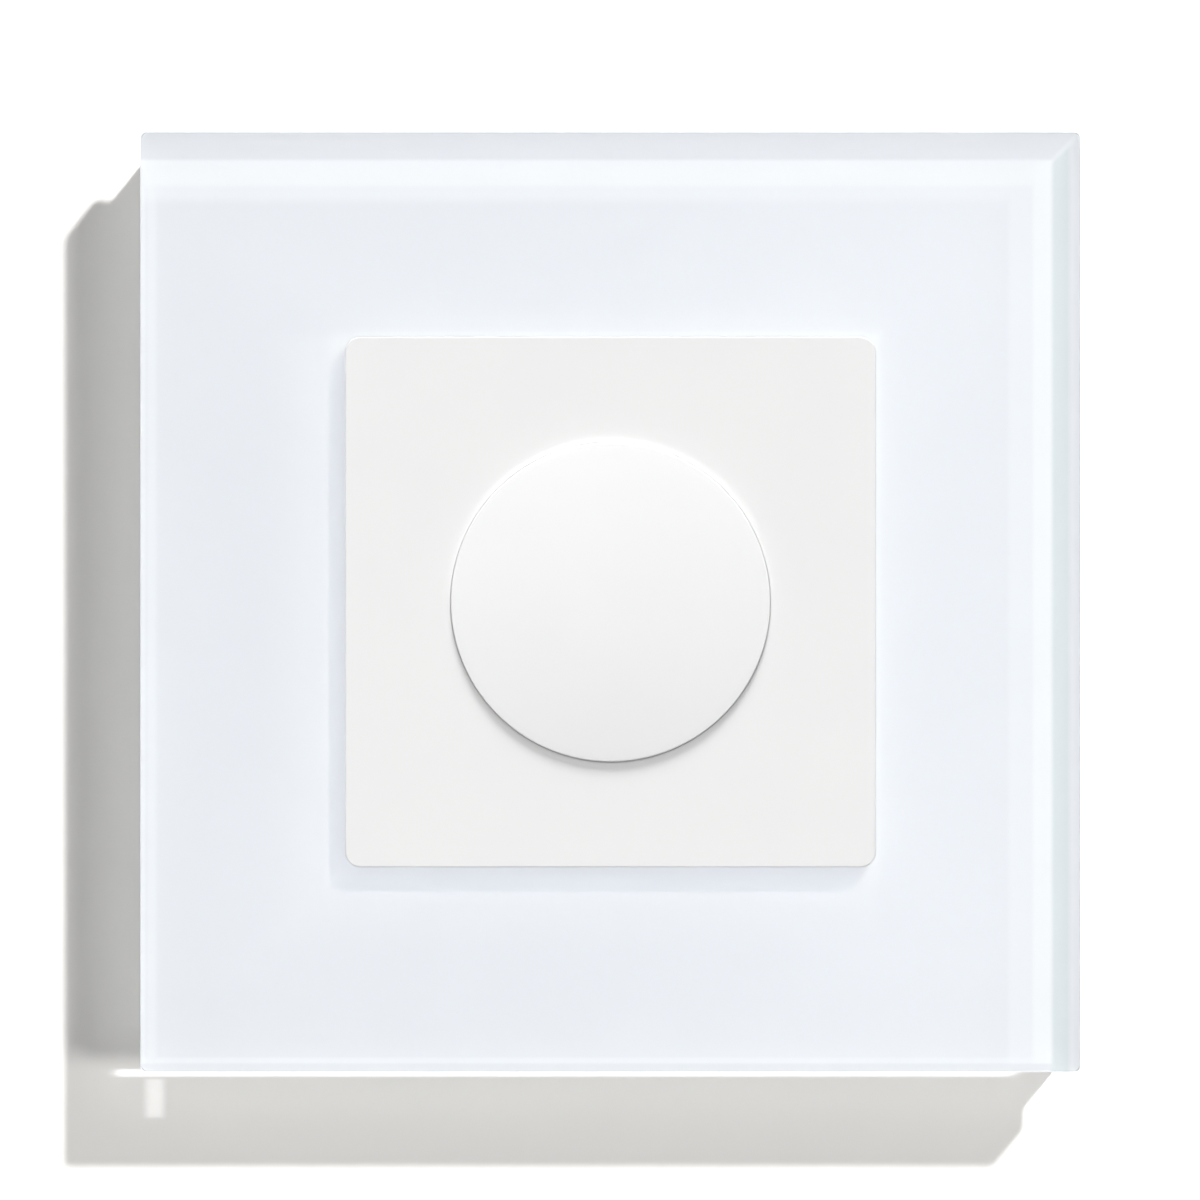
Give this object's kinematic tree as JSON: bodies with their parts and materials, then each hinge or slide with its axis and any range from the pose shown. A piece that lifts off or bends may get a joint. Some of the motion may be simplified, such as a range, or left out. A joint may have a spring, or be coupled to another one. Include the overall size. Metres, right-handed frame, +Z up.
{
  "type": "touch light switch",
  "caption": "Flush wall switch with a square glass frame, a white insert and a round sprung touch button.",
  "frame": {"origin": "middle of the switch on the face of the wall, halfway between the two box screws", "axes": "+X to the right seen from the room, +Y into the wall along the box screws, +Z up"},
  "size_m": [0.088, 0.0384, 0.088],
  "materials": {
    "clear_glass": "clear, polished edges",
    "white_film": "white film",
    "carrier_plastic": "fine satin moulding",
    "insert_plastic": "fine matt moulding",
    "button_plastic": "smooth satin gloss",
    "spring_wire": "drawn wire",
    "switch_case": "fine matt moulding",
    "plunger_plastic": "smooth",
    "circuit_board": "lacquered laminate",
    "chip_resin": "moulded resin",
    "header_plastic": "fine matt moulding",
    "contact_brass": "plain brass",
    "housing_plastic": "fine satin moulding",
    "zinc_steel": "zinc plated, rolled",
    "screw_steel": "zinc plated",
    "terminal_plastic": "fine matt moulding",
    "relay_plastic": "smooth moulding",
    "bobbin_plastic": "fine matt moulding",
    "copper_wire": "enamelled copper wire",
    "soft_iron": "plated iron",
    "ferrite": "dark sintered ferrite",
    "coil_tape": "wound tape",
    "capacitor_sleeve": "shrunk sleeve",
    "film_capacitor_case": "moulded case",
    "varistor_coat": "dipped resin coat",
    "fuse_ceramic": "ceramic tube with metal caps"
  },
  "bodies": {
    "mechanism": {"module_front": "insert_plastic", "touch_spring": "spring_wire", "button_switch": "switch_case", "touch_board": "circuit_board", "touch_chip": "chip_resin", "header_strip": "header_plastic", "header_pins": "contact_brass", "housing_cover": "housing_plastic", "housing_screws": "screw_steel", "rear_housing": "housing_plastic", "mounting_frame": "zinc_steel", "box_screws": "screw_steel", "power_board": "circuit_board", "terminal_block": "terminal_plastic", "relay_base": "relay_plastic", "relay_case": "relay_plastic", "relay_bobbin": "bobbin_plastic", "relay_winding": "copper_wire", "relay_core": "soft_iron", "relay_yoke": "soft_iron", "fixed_contact": "contact_brass", "transformer_core": "ferrite", "transformer_coil": "coil_tape", "smoothing_capacitor": "capacitor_sleeve", "film_capacitor": "film_capacitor_case", "varistor": "varistor_coat", "fuse": "fuse_ceramic", "rectifier": "chip_resin", "driver_chip": "chip_resin", "terminal_bar_1": "contact_brass", "terminal_bar_2": "contact_brass", "terminal_bar_3": "contact_brass"},
    "front_panel": {"glass_panel": "clear_glass", "bonding_film": "white_film", "panel_carrier": "carrier_plastic"},
    "button": {"touch_button": "button_plastic"},
    "plunger": {"switch_plunger": "plunger_plastic"},
    "armature": {"relay_armature": "soft_iron", "contact_blade": "contact_brass"},
    "screw_1": {"terminal_screw_1": "screw_steel"},
    "clamp_1": {"wire_clamp_1": "zinc_steel"},
    "screw_2": {"terminal_screw_2": "screw_steel"},
    "clamp_2": {"wire_clamp_2": "zinc_steel"},
    "screw_3": {"terminal_screw_3": "screw_steel"},
    "clamp_3": {"wire_clamp_3": "zinc_steel"}
  },
  "joints": [
    {"name": "frame_pull", "type": "slide", "parent": "mechanism", "child": "front_panel", "axis": [0, -1, 0], "range_m": [0, 0.02]},
    {"name": "button_press", "type": "slide", "parent": "mechanism", "child": "button", "axis": [0, 1, 0], "range_m": [0, 0.0004], "stiffness_N_per_m": 1500, "springref_m": -0.0007, "deforming": ["touch_spring"]},
    {"name": "plunger_press", "type": "slide", "parent": "mechanism", "child": "plunger", "axis": [0, 1, 0], "range_m": [0, 0.0004]},
    {"name": "armature_rock", "type": "hinge", "parent": "mechanism", "child": "armature", "pos_m": [0.002, 0.0163, 0.01145], "axis": [0, 0, 1], "range_deg": [0, 2.8], "stiffness_Nm_per_rad": 0.005, "springref_deg": -8.59},
    {"name": "screw_turn_1", "type": "hinge", "parent": "mechanism", "child": "screw_1", "pos_m": [-0.0092, 0.02185, -0.0168], "axis": [0, -1, 0], "range_deg": [0, 2160]},
    {"name": "clamp_rise_1", "type": "slide", "parent": "mechanism", "child": "clamp_1", "axis": [0, 1, 0], "range_m": [0, 0.0036]},
    {"name": "screw_turn_2", "type": "hinge", "parent": "mechanism", "child": "screw_2", "pos_m": [0, 0.02185, -0.0168], "axis": [0, -1, 0], "range_deg": [0, 2160]},
    {"name": "clamp_rise_2", "type": "slide", "parent": "mechanism", "child": "clamp_2", "axis": [0, 1, 0], "range_m": [0, 0.0036]},
    {"name": "screw_turn_3", "type": "hinge", "parent": "mechanism", "child": "screw_3", "pos_m": [0.0092, 0.02185, -0.0168], "axis": [0, -1, 0], "range_deg": [0, 2160]},
    {"name": "clamp_rise_3", "type": "slide", "parent": "mechanism", "child": "clamp_3", "axis": [0, 1, 0], "range_m": [0, 0.0036]}
  ],
  "couplings": [
    {"joint": "plunger_press", "follows": "button_press", "ratio": 1},
    {"joint": "screw_turn_1", "follows": "clamp_rise_1", "rad_per_m": 10472},
    {"joint": "screw_turn_2", "follows": "clamp_rise_2", "rad_per_m": 10472},
    {"joint": "screw_turn_3", "follows": "clamp_rise_3", "rad_per_m": 10472}
  ]
}
